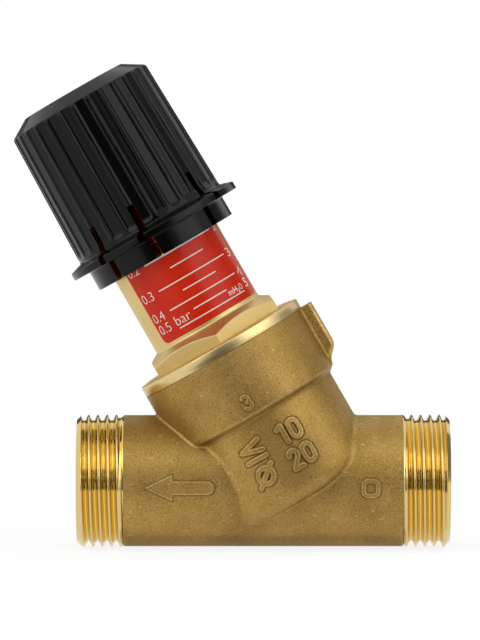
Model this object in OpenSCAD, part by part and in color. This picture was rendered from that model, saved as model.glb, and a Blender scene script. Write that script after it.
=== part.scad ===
// Differential pressure overflow valve: a Y-pattern brass body with two male pipe
// threads, a tilted spring bonnet with a pressure scale, and a black handwheel.
//
// Frame: the origin is the centre of the inlet's sealing face. +X runs out of the
// inlet along the run, +Z is up. The bonnet leans back over the outlet.
// Heights along the bonnet are measured from where its axis crosses the run's axis.

/* [Run] */
// Face to face length of the run
run_length = 93; // [85:1:130]
// Outer diameter of the run between the threads
run_d = 32.8; // [32:0.1:33]
// Bore of each port, where a union's tail enters
port_d = 24; // [23.5:0.1:25]
// Depth of each port bore
port_depth = 12; // [6:0.5:14]
// Bore of the water passages inside the run
passage_d = 23; // [18:0.1:23.3]

/* [End threads] */
// Major diameter of the pipe thread
thread_d = 33.25; // [33.1:0.05:36]
// Pitch of the pipe thread
thread_pitch = 2.309; // [1.8:0.001:2.6]
// Depth of the pipe thread
thread_depth = 1.479; // [1:0.001:1.6]
// Flat left on a thread crest
thread_land = 0.5; // [0.4:0.05:0.7]
// Length of each thread, from its face to the shoulder
thread_length = 11.7; // [9:0.1:16]
// Chamfer at the start of each thread
thread_chamfer = 1.1; // [0.5:0.1:1.6]

/* [Bonnet axis] */
// Lean of the bonnet from the vertical, towards the outlet
bonnet_tilt = 30; // [25:1:35]
// How far the crossing of the axes lies from mid run, towards the inlet
axis_offset = 8.7; // [4:0.1:10]

/* [Neck] */
// Bore of the water chamber under the bonnet
chamber_d = 32; // [28:0.5:39]
// Wall of the neck around the chamber
neck_wall = 4.5; // [3:0.1:6]
// Wall of the head around the bonnet's thread
head_wall = 4.3; // [3:0.1:6]
// How far the neck reaches below the crossing of the axes
neck_below = 1; // [0:0.1:3]
// Height of the shoulder under the head
shoulder_height = 20.2; // [17:0.1:22]
// Rounding of the head's lower edge
shoulder_r = 1.4; // [0.5:0.1:2]
// Rounding of the neck's lower edge
neck_foot_r = 4; // [1:0.1:5]
// Height of the head's machined top face
head_top = 37.4; // [36:0.1:46]
// Width of the lug on the head
lug_width = 10; // [6:0.5:14]
// How far the lug stands out of the head
lug_reach = 2.9; // [2:0.1:4]
// Height of the lug's outer face
lug_height = 12; // [8:0.1:14]

/* [Seat] */
// Bore of the seat
seat_d = 18; // [15:0.1:19]
// Height of the seat's face
seat_height = 2; // [1.5:0.1:3]
// Width of the seat's face
seat_land = 1.5; // [1:0.1:2]
// How far the seat stands above the partition
seat_rise = 0.8; // [0.5:0.1:1.2]
// Thickness of the partition that holds the seat
partition_t = 3; // [2.5:0.1:4]

/* [Bonnet] */
// Bore of the spring chamber
spring_bore_d = 23.6; // [22.8:0.1:29]
// Wall of the bonnet's barrel
barrel_wall = 2.8; // [2:0.1:3.5]
// How far each hexagon flat stands out of the barrel
hex_step = 2.4; // [1.5:0.1:3]
// Height of the hexagon at its flats
hex_height = 3.5; // [3:0.1:5]
// Slope of the hexagon's chamfer
hex_chamfer_angle = 30; // [20:1:35]
// Height of the collar's straight rim
collar_rim = 2.2; // [1.5:0.1:3]
// Rise of the collar's sloping top
collar_slope = 1; // [0.5:0.1:1.5]
// Depth of the spring chamber's floor below the head's top face
floor_depth = 11.4; // [10:0.1:12]
// Depth of the thread that screws into the head
bonnet_thread_length = 13.4; // [12:0.1:14]
// Width of the bonnet's O-ring groove
bonnet_groove = 2.5; // [2:0.1:3]

/* [Stem and disc] */
// Diameter of the stem
stem_d = 8; // [6.8:0.1:9.6]
// Diameter of the stem's threaded foot
stem_foot_d = 6; // [5:0.1:6.4]
// Lift of the disc from closed to fully open
disc_lift = 4; // [2:0.1:4.5]
// Thickness of the soft seal
seal_t = 2.5; // [2:0.1:3]
// Wall of the cup around the seal
cup_wall = 1; // [0.8:0.1:1.5]
// Thickness of the disc's web
disc_web = 2; // [1.5:0.1:3]
// Height of the disc's boss above the web
disc_boss = 2; // [1:0.1:3]
// Thickness of the guide bush's wall
bush_wall = 2; // [1.5:0.1:2.5]
// Length of the guide bush
bush_length = 7; // [5:0.1:8]
// Cord diameter of the stem's O-ring
stem_cord = 2.4; // [2:0.1:2.6]

/* [Spring and setting] */
// Wire diameter of the spring
wire_d = 1.2; // [1:0.05:1.3]
// Coils of the spring
coils = 8; // [6:0.5:8]
// Length of the spring at the setting shown
spring_length = 33; // [31:0.1:42]
// Travel of the handwheel from the setting shown to the highest one
travel_down = 18.1; // [10:0.1:18.5]
// Travel of the handwheel from the setting shown to the lowest one
travel_up = 10.5; // [4:0.1:11]
// Diameter of the setting screw
screw_d = 12; // [10:0.1:13]
// Lead of the setting screw
screw_lead = 3; // [2.6:0.1:3.2]
// Thickness of each spring plate
plate_t = 1.5; // [1:0.1:2]

/* [Handwheel] */
// Wall of the handwheel at its skirt
skirt_wall = 3.05; // [2.5:0.05:4]
// Wall of the handwheel at the foot of its grip
grip_wall_foot = 3.9; // [3.5:0.1:5]
// Wall of the handwheel at the top of its grip
grip_wall_top = 3.03; // [2.8:0.01:4]
// How far the rim flange stands out of the grip
flange_reach = 3.4; // [2:0.1:5]
// Thickness of the rim flange
flange_t = 2; // [1.5:0.1:3]
// Height of the skirt under the rim flange
skirt_height = 5.15; // [4:0.05:7]
// Height of the handwheel
handwheel_height = 46.65; // [44:0.05:50]
// Height of the chamfer at the top
crown_height = 2.7; // [2:0.1:4]
// Radius of the flat top
crown_flat_r = 13.5; // [11:0.1:15]
// Number of grip flutes
flutes = 30; // [18:1:36]
// Depth of a flute
flute_depth = 0.45; // [0.2:0.05:0.7]
// Width of a slot beside a snap finger
slot_width = 1.8; // [1:0.1:2.5]
// Distance of each slot from its finger's middle plane
slot_offset = 6.1; // [5:0.1:7]
// Height of the slots
slot_height = 14.75; // [10:0.05:18]

/* [Scale label] */
// Width of the label around the barrel
label_width = 33.3; // [20:0.1:40]
// Thickness of the label
label_t = 0.15; // [0.1:0.05:0.2]

/* [Clearances] */
// Gap of pieces that are screwed or set into each other
fit_gap = 0.05; // [0.02:0.01:0.1]
// Radial gap of a sliding shaft
running_gap = 0.05; // [0.03:0.01:0.08]
// Gap left where a moving piece meets its stop
stop_gap = 0.3; // [0.2:0.05:0.5]
// Radial gap between the handwheel and the bonnet's head
handwheel_gap = 0.4; // [0.3:0.05:0.8]
// Gap around the setting screw's thread
thread_gap = 0.2; // [0.15:0.05:0.25]
// Gap between the setting screw's end and its thrust washer
bearing_gap = 0.1; // [0.05:0.05:0.3]

/* [Hidden] */
$fn = 96;
eps = 0.01;

// Colours
cast_brass = "#a5823f";
turned_brass = "#d9bd77";
black_plastic = "#232426";
label_red = "#c22b1b";
steel = "#b9bcc0";
rubber = "#2b2b2b";
acetal = "#e9e6dc";

// Run
axis_x = -run_length / 2 + axis_offset;
shoulder_len = run_length - 2 * thread_length;
arrow_rise = 0.35;
arrow_head = [6.5, 6.4];
arrow_shaft = [17, 3.6];
arrow_tip = 17.5;
crest_from_inlet = 0.27;
crest_from_outlet = 1.7;

// Neck and head
neck_d = chamber_d + 2 * neck_wall;
bonnet_thread_d = chamber_d + 4;
head_d = bonnet_thread_d + 2 * head_wall;
partition_top = seat_height - seat_rise;
partition_foot = partition_top - partition_t;

// Bonnet
barrel_d = spring_bore_d + 2 * barrel_wall;
hex_af = barrel_d + 2 * hex_step;
hex_foot = head_top + collar_rim + collar_slope;
hex_top = hex_foot + hex_height;
barrel_foot = hex_top + hex_step * tan(hex_chamfer_angle);
floor_height = head_top - floor_depth;
bonnet_foot = head_top - bonnet_thread_length - 2;
bonnet_skirt_d = chamber_d - 1;

// Disc stack, from the seat up
seal_foot = seat_height + 0.02;
seal_d = seat_d + 2 * seat_land + 2.6;
disc_d = seal_d + 2 * cup_wall;
cup_foot = seal_foot + 1.2;
web_foot = seal_foot + seal_t;
web_top = web_foot + disc_web;
boss_top = web_top + disc_boss;
boss_d = stem_d + 4;
washer_t = 1;
washer_d = seat_d - 3;
nut_af = stem_foot_d + 4;
nut_h = 5;
stem_foot = seal_foot - washer_t - nut_h - 1;

// Stem guide, from the disc's stop up
guide_end = boss_top + disc_lift + stop_gap;
bush_d = stem_d + 2 * running_gap + 2 * bush_wall;
guide_boss_d = bush_d + 5;
bush_top = guide_end + bush_length;
gland_d = bush_d + 3;
gland_foot = floor_height - 2.8;
o_ring_foot = gland_foot - stem_cord - 0.2;
o_ring_bore_d = stem_d + 2 * running_gap + 2 * stem_cord + 0.1;

// Trapezoidal thread of the setting screw
screw_depth = 1.5;
screw_groove_root = 1;
screw_groove_mouth = 1.9;

// Spring stack
clip_t = 0.8;
clip_foot = floor_height + 2.2;
plate_foot = clip_foot + clip_t;
plate_top = plate_foot + plate_t;
plate_d = spring_bore_d - 1.6;
spring_d = spring_bore_d - 2 * 1.2;
spring_seat_d = spring_d - 2 * wire_d - 0.5;
stem_top = plate_top + 3;
upper_plate_foot = plate_top + spring_length;
upper_plate_t = plate_t + 0.5;
upper_plate_top = upper_plate_foot + upper_plate_t;
upper_plate_d = spring_bore_d - 0.4;
thrust_t = 1;
thrust_d = screw_d - 2 * screw_depth - 2 * stop_gap;
screw_foot = upper_plate_top + thrust_t + bearing_gap;

// Threaded head in the top of the barrel
threaded_head_foot = upper_plate_top + travel_up + 2 * stop_gap;
threaded_head_seat = 4;
barrel_top = threaded_head_foot + threaded_head_seat;
head_flange_t = 2.4;
head_flange_d = barrel_d + 2;
head_flange_top = barrel_top + head_flange_t;
threaded_head_d = spring_bore_d + 1.6;

// Handwheel
cavity_d = head_flange_d + 2 * handwheel_gap;
skirt_d = cavity_d + 2 * skirt_wall;
grip_foot_d = cavity_d + 2 * grip_wall_foot;
grip_top_d = cavity_d + 2 * grip_wall_top;
flange_d = grip_foot_d + 2 * flange_reach;
hub_foot = head_flange_top + travel_down + stop_gap + 0.1;
socket_depth = 5.3;
hub_web = 1.4;
screw_recess = 3.1;
cap_t = 1.6;
handwheel_top = hub_foot + socket_depth + hub_web + screw_recess + cap_t;
handwheel_foot = handwheel_top - handwheel_height;
hub_d = screw_d + 4;
cavity_top = handwheel_top - 3.9;
flange_foot = handwheel_foot + skirt_height;
grip_foot = flange_foot + flange_t + 1.3;
grip_top = handwheel_top - crown_height - 0.6;
lip_d = barrel_d + 2 * label_t + 0.5;
lip_top = barrel_top - travel_up - stop_gap;
lip_inset = 0.4;
finger_angle = -112.8;
flute_angle = -94.8;
cap_d = 2 * crown_flat_r - 8;
socket_af = screw_d - 2.4;
fixing_d = 4;
fixing_head_d = 7.6;
fixing_head_h = 2.4;
fixing_washer_d = 9;
fixing_washer_t = 0.6;
fixing_recess_d = 10;
fixing_depth = 12;

// Label
label_foot = barrel_foot + 0.8;
label_top = barrel_top - 0.9;
label_gap = 0.02;
label_angle = label_width / (PI * barrel_d) * 360;
label_middle = -77.8;

// Places its children on the bonnet's axis, with its height as their Z.
module on_axis() {
    translate([axis_x, 0, 0]) rotate([0, -bonnet_tilt, 0]) children();
}

// A ring of revolution between two radii and two heights.
module ring(d_out, d_in, foot, top) {
    translate([0, 0, foot]) difference() {
        cylinder(d = d_out, h = top - foot);
        translate([0, 0, -1]) cylinder(d = d_in, h = top - foot + 2);
    }
}

// A hexagonal prism by its width across flats, with corners on the Y axis.
module hexagon(af, h) {
    rotate([0, 0, 30]) cylinder(d = af / cos(30), h = h, $fn = 6);
}

// Four corners of a band's section, at one angle of its helix.
function band_section(r_in, r_out, w_in, w_out, angle, z) = [
    for (c = [[r_in, -w_in / 2], [r_out, -w_out / 2], [r_out, w_out / 2], [r_in, w_in / 2]])
        [c[0] * cos(angle), c[0] * sin(angle), z + c[1]]];

// Triangles of a tube of sections with a count of corners each, closed at both ends.
function tube_faces(sections, corners) = concat(
    [for (i = [1 : corners - 2]) [0, i + 1, i]],
    [for (s = [0 : sections - 2], j = [0 : corners - 1], half = [0, 1])
        let (a = s * corners + j, b = s * corners + (j + 1) % corners)
            half == 0 ? [a, b, b + corners] : [a, b + corners, a + corners]],
    [for (i = [1 : corners - 2]) let (e = (sections - 1) * corners) [e, e + i, e + i + 1]]);

// A right-hand helical band: widths at its inner and outer radius, middle at height z0 at angle 0.
module helix_band(r_in, r_out, w_in, w_out, pitch, z0, turns, sides) {
    steps = ceil(turns * sides);
    points = [for (i = [0 : steps])
        each band_section(r_in, r_out, w_in, w_out, 360 * i / sides, z0 + pitch * i / sides)];
    polyhedron(points = points, faces = tube_faces(steps + 1, 4));
}

// The groove that is cut into a shaft to leave a thread of the given crest land.
module thread_groove(d, pitch, depth, land, root, z0, turns, sides) {
    over = 0.2;
    slope = (pitch - land - root) / 2 / depth;
    helix_band(d / 2 - depth, d / 2 + over, root, pitch - land + 2 * over * slope, pitch, z0, turns, sides);
}

// A threaded pipe end on +Z, from its sealing face at 0 to the shoulder.
module threaded_end(crest_from_face) {
    turns = thread_length / thread_pitch + 3;
    difference() {
        union() {
            cylinder(d1 = thread_d - 2 * thread_chamfer, d2 = thread_d, h = thread_chamfer);
            translate([0, 0, thread_chamfer]) cylinder(d = thread_d, h = thread_length - thread_chamfer + 0.5);
        }
        thread_groove(thread_d, thread_pitch, thread_depth, thread_land, thread_land,
                      crest_from_face - 1.5 * thread_pitch, turns, 30);
    }
}

// Outline of half the neck and head, as turned about the bonnet's axis.
module neck_outline() {
    foot = -neck_below;
    r = neck_d / 2;
    top_r = head_d / 2;
    translate([0, foot + neck_foot_r]) square([r, head_top - foot - neck_foot_r]);
    translate([0, foot]) square([r - neck_foot_r, neck_foot_r + eps]);
    translate([r - neck_foot_r, foot + neck_foot_r]) circle(r = neck_foot_r);
    translate([0, shoulder_height + shoulder_r]) square([top_r, head_top - shoulder_height - shoulder_r]);
    translate([0, shoulder_height]) square([top_r - shoulder_r, shoulder_r + eps]);
    translate([top_r - shoulder_r, shoulder_height + shoulder_r]) circle(r = shoulder_r);
}

// The lug on the inlet side of the head, with its foot sloping into the neck.
module lug() {
    r = head_d / 2;
    outer = r + lug_reach;
    inner = neck_d / 2 - 1;
    low = head_top - lug_height;
    rotate([90, 0, 0]) linear_extrude(height = lug_width, center = true)
        polygon([[inner, head_top - 0.5], [outer, head_top - 0.5], [outer, low],
                 [inner, low - (outer - inner) * 1.1]]);
}

// Flow arrow on the front of the run, pointing to the outlet.
module flow_arrow() {
    intersection() {
        translate([-run_length + arrow_tip, 0, 0]) rotate([90, 0, 0]) linear_extrude(height = run_d)
            polygon([[0, 0], [arrow_head[0], -arrow_head[1] / 2], [arrow_head[0], -arrow_shaft[1] / 2],
                     [arrow_shaft[0], -arrow_shaft[1] / 2], [arrow_shaft[0], arrow_shaft[1] / 2],
                     [arrow_head[0], arrow_shaft[1] / 2], [arrow_head[0], arrow_head[1] / 2]]);
        translate([-run_length, 0, 0]) rotate([0, 90, 0]) difference() {
            cylinder(d = run_d + 2 * arrow_rise, h = run_length);
            cylinder(d = run_d - 1, h = run_length);
        }
    }
}

// Water passage from the inlet, up to the partition's lower side.
module inlet_passage() {
    intersection() {
        rotate([0, -90, 0]) cylinder(d = passage_d, h = run_length - port_depth);
        on_axis() translate([-run_length, -run_length, partition_foot - 2 * run_length])
            cube(2 * run_length);
    }
}

// Water passage to the outlet, from the partition's upper side.
module outlet_passage() {
    intersection() {
        translate([-run_length, 0, 0]) rotate([0, 90, 0]) cylinder(d = passage_d, h = run_length - port_depth);
        on_axis() translate([-run_length, -run_length, partition_top]) cube(2 * run_length);
    }
}

// The casting: run, threaded ends, neck, head, lug and seat.
module valve_body() {
    color(cast_brass) difference() {
        union() {
            translate([-run_length + thread_length, 0, 0]) rotate([0, 90, 0])
                cylinder(d = run_d, h = shoulder_len);
            rotate([0, -90, 0]) threaded_end(crest_from_inlet);
            translate([-run_length, 0, 0]) rotate([0, 90, 0]) threaded_end(crest_from_outlet);
            on_axis() rotate_extrude() neck_outline();
            on_axis() lug();
            flow_arrow();
        }
        translate([1, 0, 0]) rotate([0, -90, 0]) cylinder(d = port_d, h = port_depth + 1);
        translate([-run_length - 1, 0, 0]) rotate([0, 90, 0]) cylinder(d = port_d, h = port_depth + 1);
        inlet_passage();
        outlet_passage();
        on_axis() {
            translate([0, 0, partition_foot - 4]) cylinder(d = seat_d, h = 4 + partition_t + seat_rise + 2);
            difference() {
                translate([0, 0, partition_top]) cylinder(d = chamber_d, h = head_top);
                translate([0, 0, partition_top - 1]) cylinder(d = seat_d + 2 * seat_land, h = seat_rise + 1);
            }
            translate([0, 0, head_top - bonnet_thread_length]) cylinder(d = bonnet_thread_d, h = head_top);
        }
    }
}

// The turned bonnet: guide boss, thread, collar, hexagon and barrel.
module bonnet() {
    thread_top = head_top - bonnet_groove;
    thread_foot = head_top - bonnet_thread_length + 0.5;
    male_d = bonnet_thread_d - 2 * fit_gap;
    cone_h = hex_af * tan(hex_chamfer_angle);
    color(turned_brass) on_axis() difference() {
        union() {
            translate([0, 0, guide_end]) cylinder(d = guide_boss_d, h = bonnet_foot - guide_end + 1);
            translate([0, 0, bonnet_foot]) cylinder(d = bonnet_skirt_d, h = head_top - bonnet_foot);
            translate([0, 0, thread_foot]) cylinder(d = male_d, h = thread_top - thread_foot);
            translate([0, 0, head_top]) cylinder(d = head_d, h = collar_rim);
            translate([0, 0, head_top + collar_rim]) cylinder(d1 = head_d, d2 = hex_af, h = collar_slope);
            intersection() {
                translate([0, 0, head_top]) hexagon(hex_af, barrel_foot - head_top);
                translate([0, 0, barrel_foot - cone_h])
                    cylinder(d1 = barrel_d + 2 * hex_af, d2 = barrel_d, h = cone_h);
            }
            translate([0, 0, head_top]) cylinder(d = barrel_d, h = barrel_top - head_top);
        }
        translate([0, 0, floor_height]) cylinder(d = spring_bore_d, h = barrel_top);
        translate([0, 0, threaded_head_foot]) cylinder(d = threaded_head_d, h = barrel_top);
        translate([0, 0, guide_end - 1]) cylinder(d = bush_d + 2 * fit_gap, h = bush_length + 1);
        translate([0, 0, guide_end]) cylinder(d = stem_d + 0.6, h = head_top);
        translate([0, 0, o_ring_foot]) cylinder(d = o_ring_bore_d, h = head_top);
        translate([0, 0, gland_foot]) cylinder(d = gland_d + 2 * fit_gap, h = head_top);
    }
}

// O-ring under the bonnet's collar.
module bonnet_o_ring() {
    cord = (bonnet_thread_d - bonnet_skirt_d) / 2 - 2 * 0.03;
    color(rubber) on_axis() translate([0, 0, head_top - bonnet_groove / 2])
        rotate_extrude() translate([(bonnet_thread_d + bonnet_skirt_d) / 4, 0])
            intersection() {
                circle(d = cord);
                square([cord, min(cord, bonnet_groove - 0.1)], center = true);
            }
}

// Plain bush that guides the stem.
module guide_bush() {
    color(acetal) on_axis() ring(bush_d, stem_d + 2 * running_gap, guide_end, bush_top - fit_gap);
}

// O-ring that seals the stem.
module stem_o_ring() {
    color(rubber) on_axis() translate([0, 0, o_ring_foot + stem_cord / 2 + 0.1])
        rotate_extrude() translate([stem_d / 2 + running_gap + stem_cord / 2, 0]) circle(d = stem_cord);
}

// Ring that holds the stem's O-ring down.
module gland_ring() {
    color(turned_brass) on_axis() ring(gland_d, stem_d + 4 * running_gap, gland_foot, floor_height);
}

// Nut in the top of the barrel, which the setting screw runs in and the handwheel's fingers stop on.
module threaded_head() {
    ridge = screw_lead - screw_groove_mouth + 2 * thread_gap;
    ridge_root = screw_lead - screw_groove_root + 2 * thread_gap;
    bore_d = screw_d - 2 * screw_depth + 2 * thread_gap;
    turns = (head_flange_top - threaded_head_foot) / screw_lead + 3;
    color(turned_brass) on_axis() difference() {
        union() {
            translate([0, 0, threaded_head_foot])
                cylinder(d = threaded_head_d - 2 * fit_gap, h = threaded_head_seat + eps);
            translate([0, 0, barrel_top]) cylinder(d = head_flange_d, h = head_flange_t);
        }
        translate([0, 0, threaded_head_foot - 1])
            cylinder(d = bore_d, h = head_flange_top - threaded_head_foot + 2);
        helix_band(bore_d / 2 - 0.3, screw_d / 2 + thread_gap + 0.05, ridge_root, ridge, screw_lead,
                   screw_foot + (floor((threaded_head_foot - screw_foot) / screw_lead) - 1.5) * screw_lead,
                   turns, 24);
    }
}

// Printed scale, stuck round the front of the barrel.
module scale_label() {
    color(label_red) on_axis() translate([0, 0, label_foot]) rotate([0, 0, label_middle - label_angle / 2])
        rotate_extrude(angle = label_angle) translate([barrel_d / 2 + label_gap, 0])
            square([label_t, label_top - label_foot]);
}

// Stem with its threaded foot and its clip groove.
module stem() {
    color(steel) on_axis() difference() {
        union() {
            translate([0, 0, stem_foot]) cylinder(d = stem_foot_d, h = web_top - stem_foot + eps);
            translate([0, 0, web_top]) cylinder(d = stem_d, h = stem_top - web_top - 0.5);
            translate([0, 0, stem_top - 0.5]) cylinder(d1 = stem_d, d2 = stem_d - 1, h = 0.5);
        }
        ring(stem_d + 2, stem_d - 1.6, clip_foot, clip_foot + clip_t);
    }
}

// Disc with the cup that holds its soft seal.
module valve_disc() {
    color(turned_brass) on_axis() difference() {
        union() {
            translate([0, 0, cup_foot]) cylinder(d = disc_d, h = web_top - cup_foot);
            translate([0, 0, web_top - eps]) cylinder(d = boss_d, h = disc_boss + eps);
        }
        translate([0, 0, cup_foot - 1]) cylinder(d = seal_d + 2 * fit_gap, h = web_foot - cup_foot + 1);
        translate([0, 0, web_foot - 1]) cylinder(d = stem_foot_d + 2 * fit_gap, h = disc_web + disc_boss + 2);
        translate([0, 0, web_top]) cylinder(d = stem_d + 2 * fit_gap, h = disc_boss + 1);
    }
}

// Soft ring that closes on the seat.
module disc_seal() {
    color(rubber) on_axis() ring(seal_d, stem_foot_d + 2 * fit_gap, seal_foot, web_foot);
}

// Washer that backs the soft seal.
module seal_washer() {
    color(steel) on_axis() ring(washer_d, stem_foot_d + 2 * fit_gap, seal_foot - washer_t, seal_foot);
}

// Nut that clamps the disc, seal and washer on the stem.
module disc_nut() {
    foot = seal_foot - washer_t - nut_h;
    color(steel) on_axis() translate([0, 0, foot]) difference() {
        hexagon(nut_af, nut_h);
        translate([0, 0, -1]) cylinder(d = stem_foot_d + 2 * fit_gap, h = nut_h + 2);
    }
}

// Plate under the spring, which pushes the stem down through its clip.
module lower_spring_plate() {
    color(steel) on_axis() difference() {
        union() {
            translate([0, 0, plate_foot]) cylinder(d = plate_d, h = plate_t);
            translate([0, 0, plate_top - eps]) cylinder(d = spring_seat_d, h = 2);
        }
        translate([0, 0, plate_foot - 1]) cylinder(d = stem_d + 2 * fit_gap, h = plate_t + 4);
    }
}

// Open clip in the stem's groove.
module stem_clip() {
    color(steel) on_axis() difference() {
        ring(stem_d + 3, stem_d - 1.6 + 2 * fit_gap, clip_foot + 0.02, clip_foot + clip_t - 0.02);
        translate([0, -stem_d / 4, clip_foot - 1]) cube([stem_d, stem_d / 2, clip_t + 2]);
    }
}

// Height of the spring's wire after a number of turns: close end coils, open middle.
end_pitch = wire_d + 0.5;
open_pitch = (spring_length - wire_d - 2 * end_pitch) / (coils - 2);
function wire_height(t) = t < 1 ? t * end_pitch
    : t > coils - 1 ? spring_length - wire_d - (coils - t) * end_pitch
    : end_pitch + (t - 1) * open_pitch;
rings_per_coil = 16;
wire_sides = 8;
wire_rings = ceil(coils * rings_per_coil);
coil_r = spring_d / 2 - wire_d / 2;
function wire_centre(i) = let (t = i * coils / wire_rings)
    [coil_r * cos(360 * t), coil_r * sin(360 * t), wire_height(t)];
least_gap = min([for (i = [0 : wire_rings - rings_per_coil])
    norm(wire_centre(i + rings_per_coil) - wire_centre(i))]) - wire_d;
echo(spring_least_gap = least_gap);

// Compression spring between the two plates, as one tube of wire.
module spring() {
    points = [for (i = [0 : wire_rings], k = [0 : wire_sides - 1])
        let (c = wire_centre(i), a = 360 * i * coils / wire_rings, w = -360 * k / wire_sides, r = wire_d / 2)
            [c[0] + r * cos(w) * cos(a), c[1] + r * cos(w) * sin(a), c[2] - r * sin(w)]];
    color(steel) on_axis() translate([0, 0, plate_top + wire_d / 2])
        polyhedron(points = points, faces = tube_faces(wire_rings + 1, wire_sides));
}

// Plate on top of the spring, which the setting screw pushes down.
module upper_spring_plate() {
    color(steel) on_axis() union() {
        translate([0, 0, upper_plate_foot]) cylinder(d = upper_plate_d, h = upper_plate_t);
        translate([0, 0, upper_plate_foot - 2]) cylinder(d = spring_seat_d, h = 2 + eps);
    }
}

// Slippery washer between the plate and the turning screw.
module thrust_washer() {
    color(acetal) on_axis() translate([0, 0, upper_plate_top]) cylinder(d = thrust_d, h = thrust_t);
}

// Screw that the handwheel turns, with a hexagonal head and a tapped hole.
module setting_screw() {
    turns = (hub_foot - screw_foot) / screw_lead + 2;
    color(turned_brass) on_axis() difference() {
        union() {
            difference() {
                translate([0, 0, screw_foot]) cylinder(d = screw_d, h = hub_foot - screw_foot);
                thread_groove(screw_d, screw_lead, screw_depth, screw_lead - screw_groove_mouth,
                              screw_groove_root, screw_foot - screw_lead, turns, 24);
            }
            translate([0, 0, hub_foot - eps]) hexagon(socket_af, socket_depth + eps);
        }
        translate([0, 0, hub_foot + socket_depth - fixing_depth + fixing_washer_t])
            cylinder(d = fixing_d + 2 * fit_gap, h = fixing_depth);
    }
}

// Outline of half the handwheel's outer form.
module handwheel_outline() {
    polygon([[0, handwheel_foot], [skirt_d / 2, handwheel_foot], [skirt_d / 2, flange_foot],
             [flange_d / 2, flange_foot], [flange_d / 2, flange_foot + flange_t],
             [grip_foot_d / 2 + 0.6, grip_foot - 0.4], [grip_foot_d / 2, grip_foot],
             [grip_top_d / 2, grip_top], [grip_top_d / 2 - 0.9, grip_top + 0.6],
             [crown_flat_r, handwheel_top], [0, handwheel_top]]);
}

// One grip flute, leaning with the grip's taper.
module flute() {
    width = PI * grip_top_d / flutes - 0.5;
    r = width * width / 8 / flute_depth + flute_depth / 2;
    lean = atan((grip_foot_d - grip_top_d) / 2 / (grip_top - grip_foot));
    translate([grip_foot_d / 2 + r - flute_depth, 0, grip_foot + 1]) rotate([0, -lean, 0])
        cylinder(r = r, h = handwheel_height);
}

// Handwheel: fluted grip, slotted rim with four snap fingers, and a hub for the screw.
module handwheel() {
    color(black_plastic) on_axis() {
        difference() {
            rotate_extrude() handwheel_outline();
            difference() {
                union() {
                    translate([0, 0, handwheel_foot - 1]) cylinder(d = cavity_d, h = cavity_top - handwheel_foot - 1);
                    translate([0, 0, cavity_top - 2]) cylinder(d1 = cavity_d, d2 = cavity_d - 4, h = 2);
                }
                translate([0, 0, hub_foot]) cylinder(d = hub_d, h = cavity_top);
            }
            for (i = [0 : flutes - 1]) rotate([0, 0, flute_angle + (i + 0.5) * 360 / flutes]) flute();
            for (i = [0 : 3], side = [-1, 1]) rotate([0, 0, finger_angle + 90 * i])
                translate([cavity_d / 4, side * slot_offset - slot_width / 2, handwheel_foot - 1])
                    cube([flange_d, slot_width, slot_height + 1]);
            translate([0, 0, hub_foot - 1]) hexagon(socket_af + 4 * fit_gap, socket_depth + 1);
            translate([0, 0, hub_foot]) cylinder(d = fixing_d + 0.6, h = handwheel_height);
            translate([0, 0, hub_foot + socket_depth + hub_web]) cylinder(d = fixing_recess_d, h = handwheel_height);
            translate([0, 0, handwheel_top - cap_t]) cylinder(d = cap_d + 2 * fit_gap, h = cap_t + 1);
        }
        for (i = [0 : 3]) rotate([0, 0, finger_angle + 90 * i]) finger_lip();
    }
}

// Lip inside a snap finger, which keeps the handwheel on the bonnet.
module finger_lip() {
    half = slot_offset - slot_width / 2 - 0.2;
    intersection() {
        ring(cavity_d + 1, lip_d, handwheel_foot + lip_inset, lip_top);
        translate([0, -half, handwheel_foot]) cube([cavity_d, 2 * half, lip_top - handwheel_foot + 1]);
    }
}

// Washer and screw that hold the handwheel on the setting screw.
fixing_seat = hub_foot + socket_depth + hub_web;
module handwheel_washer() {
    color(steel) on_axis()
        ring(fixing_washer_d, fixing_d + 2 * fit_gap, fixing_seat, fixing_seat + fixing_washer_t);
}
module handwheel_screw() {
    head_foot = fixing_seat + fixing_washer_t;
    color(steel) on_axis() difference() {
        union() {
            translate([0, 0, head_foot]) cylinder(d = fixing_head_d, h = fixing_head_h - 0.1);
            translate([0, 0, head_foot - fixing_depth + 1.5]) cylinder(d = fixing_d, h = fixing_depth - 1.5 + eps);
        }
        translate([0, 0, head_foot + 1]) hexagon(2.5, fixing_head_h);
    }
}

// Snap-in cap that covers the screw, flush with the handwheel's top.
module handwheel_cap() {
    color(black_plastic) on_axis() translate([0, 0, handwheel_top - cap_t]) cylinder(d = cap_d, h = cap_t);
}

valve_body();
bonnet();
bonnet_o_ring();
guide_bush();
stem_o_ring();
gland_ring();
threaded_head();
scale_label();
stem();
valve_disc();
disc_seal();
seal_washer();
disc_nut();
lower_spring_plate();
stem_clip();
spring();
upper_spring_plate();
thrust_washer();
setting_screw();
handwheel();
handwheel_washer();
handwheel_screw();
handwheel_cap();
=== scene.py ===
"""Looks of the overflow valve: casting, pipe threads, bonnet, printed scale and handwheel."""
import math

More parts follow.
